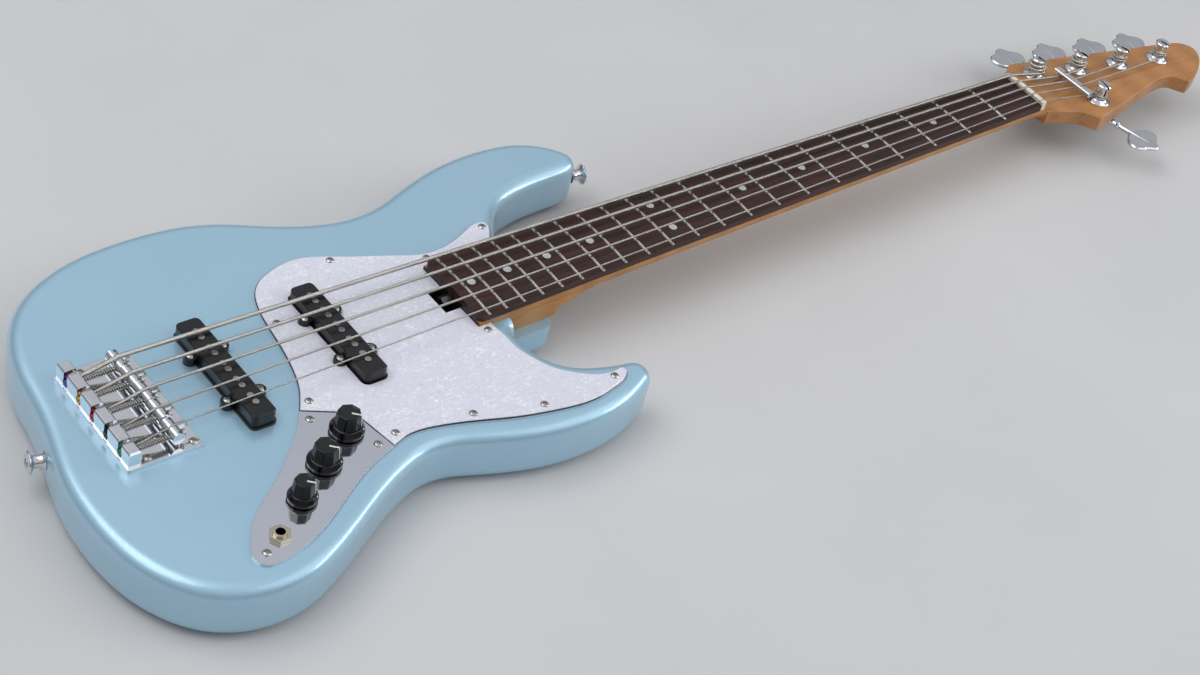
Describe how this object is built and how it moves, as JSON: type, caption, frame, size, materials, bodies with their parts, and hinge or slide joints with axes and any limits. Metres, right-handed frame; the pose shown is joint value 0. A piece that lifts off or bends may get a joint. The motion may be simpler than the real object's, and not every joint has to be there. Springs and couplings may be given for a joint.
{
  "type": "electric bass guitar",
  "caption": "Solid-body electric bass guitar with an offset metallic blue body, pearl pickguard, black pickups, chrome bridge and controls, dark fingerboard and open-gear tuners.",
  "frame": {"origin": "centre of the neck plate's outer face on the back", "axes": "+X along the neck towards the headstock, +Y towards the bass side, +Z out of the front"},
  "size_m": [1.1775, 0.329, 0.0628],
  "materials": {
    "body_paint": "gloss",
    "neck_wood": "satin",
    "board_wood": "satin",
    "pearl": "gloss",
    "bone": "satin",
    "guard_plastic": "gloss",
    "cover_plastic": "satin",
    "knob_plastic": "gloss",
    "coil_wire": "satin",
    "chrome": "polished",
    "nickel": "satin",
    "screw_metal": "satin",
    "pole_steel": "satin",
    "spring_steel": "satin",
    "tool_steel": "satin",
    "string_metal": "satin"
  },
  "bodies": {
    "frame": {"body": "body_paint", "neck": "neck_wood", "truss_rod": "tool_steel", "fingerboard": "board_wood", "position_dots": "pearl", "frets": "nickel", "string_1": "string_metal", "string_2": "string_metal", "string_3": "string_metal", "string_4": "string_metal", "string_5": "string_metal", "nut": "bone", "neck_plate": "chrome", "neck_screws": "screw_metal", "pickguard": "guard_plastic", "control_plate": "chrome", "plate_screws": "screw_metal", "bridge_screws": "screw_metal", "pickup_screws": "screw_metal", "pots": "tool_steel", "panel_nuts": "nickel", "output_jack": "nickel", "bridge_pickup_cover": "cover_plastic", "neck_pickup_cover": "cover_plastic", "pickup_poles": "pole_steel", "pickup_coils": "coil_wire", "bridge_plate": "chrome", "intonation_springs": "spring_steel", "tuner_plates": "chrome", "tuner_bushings": "chrome", "string_retainer": "chrome", "headstock_screws": "screw_metal", "strap_buttons": "chrome", "strap_screws": "screw_metal"},
    "key_1": {"tuner_key_1": "chrome"},
    "post_1": {"tuner_post_1": "chrome"},
    "key_2": {"tuner_key_2": "chrome"},
    "post_2": {"tuner_post_2": "chrome"},
    "key_3": {"tuner_key_3": "chrome"},
    "post_3": {"tuner_post_3": "chrome"},
    "key_4": {"tuner_key_4": "chrome"},
    "post_4": {"tuner_post_4": "chrome"},
    "key_5": {"tuner_key_5": "chrome"},
    "post_5": {"tuner_post_5": "chrome"},
    "neck_volume": {"neck_volume_knob": "knob_plastic", "neck_volume_shaft": "tool_steel"},
    "bridge_volume": {"bridge_volume_knob": "knob_plastic", "bridge_volume_shaft": "tool_steel"},
    "tone": {"tone_knob": "knob_plastic", "tone_shaft": "tool_steel"},
    "saddle_slide_1": {"saddle_1": "nickel"},
    "intonation_1": {"intonation_screw_1": "screw_metal"},
    "saddle_slide_2": {"saddle_2": "nickel"},
    "intonation_2": {"intonation_screw_2": "screw_metal"},
    "saddle_slide_3": {"saddle_3": "nickel"},
    "intonation_3": {"intonation_screw_3": "screw_metal"},
    "saddle_slide_4": {"saddle_4": "nickel"},
    "intonation_4": {"intonation_screw_4": "screw_metal"},
    "saddle_slide_5": {"saddle_5": "nickel"},
    "intonation_5": {"intonation_screw_5": "screw_metal"}
  },
  "joints": [
    {"name": "key_1_turn", "type": "hinge", "parent": "frame", "child": "key_1", "pos_m": [0.63697, 0.01984, 0.02585], "axis": [0.2045, 0.9789, 0], "continuous": true},
    {"name": "post_1_turn", "type": "hinge", "parent": "frame", "child": "post_1", "pos_m": [0.62473, 0.0224, 0.04525], "axis": [0, 0, 1], "continuous": true, "deforming": ["string_1"]},
    {"name": "key_2_turn", "type": "hinge", "parent": "frame", "child": "key_2", "pos_m": [0.68385, 0.01005, 0.02585], "axis": [0.2045, 0.9789, 0], "continuous": true},
    {"name": "post_2_turn", "type": "hinge", "parent": "frame", "child": "post_2", "pos_m": [0.67162, 0.0126, 0.04525], "axis": [0, 0, 1], "continuous": true, "deforming": ["string_2"]},
    {"name": "key_3_turn", "type": "hinge", "parent": "frame", "child": "key_3", "pos_m": [0.73074, 0.00025, 0.02585], "axis": [0.2045, 0.9789, 0], "continuous": true},
    {"name": "post_3_turn", "type": "hinge", "parent": "frame", "child": "post_3", "pos_m": [0.71851, 0.00281, 0.04525], "axis": [0, 0, 1], "continuous": true, "deforming": ["string_3"]},
    {"name": "key_4_turn", "type": "hinge", "parent": "frame", "child": "key_4", "pos_m": [0.77763, -0.00954, 0.02585], "axis": [0.2045, 0.9789, 0], "continuous": true},
    {"name": "post_4_turn", "type": "hinge", "parent": "frame", "child": "post_4", "pos_m": [0.7654, -0.00699, 0.04525], "axis": [0, 0, 1], "continuous": true, "deforming": ["string_4"]},
    {"name": "key_5_turn", "type": "hinge", "parent": "frame", "child": "key_5", "pos_m": [0.66631, -0.02824, 0.02585], "axis": [0.1891, -0.982, 0], "continuous": true},
    {"name": "post_5_turn", "type": "hinge", "parent": "frame", "child": "post_5", "pos_m": [0.65403, -0.0306, 0.04525], "axis": [0, 0, 1], "continuous": true, "deforming": ["string_5"]},
    {"name": "neck_volume_turn", "type": "hinge", "parent": "frame", "child": "neck_volume", "pos_m": [-0.17497, -0.079, 0.0456], "axis": [0, 0, 1], "range_deg": [-150, 150]},
    {"name": "bridge_volume_turn", "type": "hinge", "parent": "frame", "child": "bridge_volume", "pos_m": [-0.20447, -0.0975, 0.0456], "axis": [0, 0, 1], "range_deg": [-150, 150]},
    {"name": "tone_turn", "type": "hinge", "parent": "frame", "child": "tone", "pos_m": [-0.23397, -0.1175, 0.0456], "axis": [0, 0, 1], "range_deg": [-150, 150]},
    {"name": "intonation_1_turn", "type": "hinge", "parent": "saddle_slide_1", "child": "intonation_1", "pos_m": [-0.27521, 0.0309, 0.05321], "axis": [1, 0, 0], "range_deg": [-2400, 2400]},
    {"name": "saddle_1_slide", "type": "slide", "parent": "frame", "child": "saddle_slide_1", "axis": [1, 0, 0], "range_m": [-0.003, 0.003], "deforming": ["string_1", "intonation_springs"]},
    {"name": "intonation_2_turn", "type": "hinge", "parent": "saddle_slide_2", "child": "intonation_2", "pos_m": [-0.27518, 0.0134, 0.05451], "axis": [1, 0, 0], "range_deg": [-2400, 2400]},
    {"name": "saddle_2_slide", "type": "slide", "parent": "frame", "child": "saddle_slide_2", "axis": [1, 0, 0], "range_m": [-0.003, 0.003], "deforming": ["string_2", "intonation_springs"]},
    {"name": "intonation_3_turn", "type": "hinge", "parent": "saddle_slide_3", "child": "intonation_3", "pos_m": [-0.2752, -0.0041, 0.05495], "axis": [1, 0, 0], "range_deg": [-2400, 2400]},
    {"name": "saddle_3_slide", "type": "slide", "parent": "frame", "child": "saddle_slide_3", "axis": [1, 0, 0], "range_m": [-0.003, 0.003], "deforming": ["string_3", "intonation_springs"]},
    {"name": "intonation_4_turn", "type": "hinge", "parent": "saddle_slide_4", "child": "intonation_4", "pos_m": [-0.27528, -0.0216, 0.05451], "axis": [1, 0, 0], "range_deg": [-2400, 2400]},
    {"name": "saddle_4_slide", "type": "slide", "parent": "frame", "child": "saddle_slide_4", "axis": [1, 0, 0], "range_m": [-0.003, 0.003], "deforming": ["string_4", "intonation_springs"]},
    {"name": "intonation_5_turn", "type": "hinge", "parent": "saddle_slide_5", "child": "intonation_5", "pos_m": [-0.27541, -0.0391, 0.05321], "axis": [1, 0, 0], "range_deg": [-2400, 2400]},
    {"name": "saddle_5_slide", "type": "slide", "parent": "frame", "child": "saddle_slide_5", "axis": [1, 0, 0], "range_m": [-0.003, 0.003], "deforming": ["string_5", "intonation_springs"]}
  ],
  "couplings": [
    {"joint": "post_1_turn", "follows": "key_1_turn", "ratio": -0.05},
    {"joint": "post_2_turn", "follows": "key_2_turn", "ratio": -0.05},
    {"joint": "post_3_turn", "follows": "key_3_turn", "ratio": -0.05},
    {"joint": "post_4_turn", "follows": "key_4_turn", "ratio": -0.05},
    {"joint": "post_5_turn", "follows": "key_5_turn", "ratio": -0.05},
    {"joint": "intonation_1_turn", "follows": "saddle_1_slide", "rad_per_m": 13963},
    {"joint": "intonation_2_turn", "follows": "saddle_2_slide", "rad_per_m": 13963},
    {"joint": "intonation_3_turn", "follows": "saddle_3_slide", "rad_per_m": 13963},
    {"joint": "intonation_4_turn", "follows": "saddle_4_slide", "rad_per_m": 13963},
    {"joint": "intonation_5_turn", "follows": "saddle_5_slide", "rad_per_m": 13963}
  ]
}
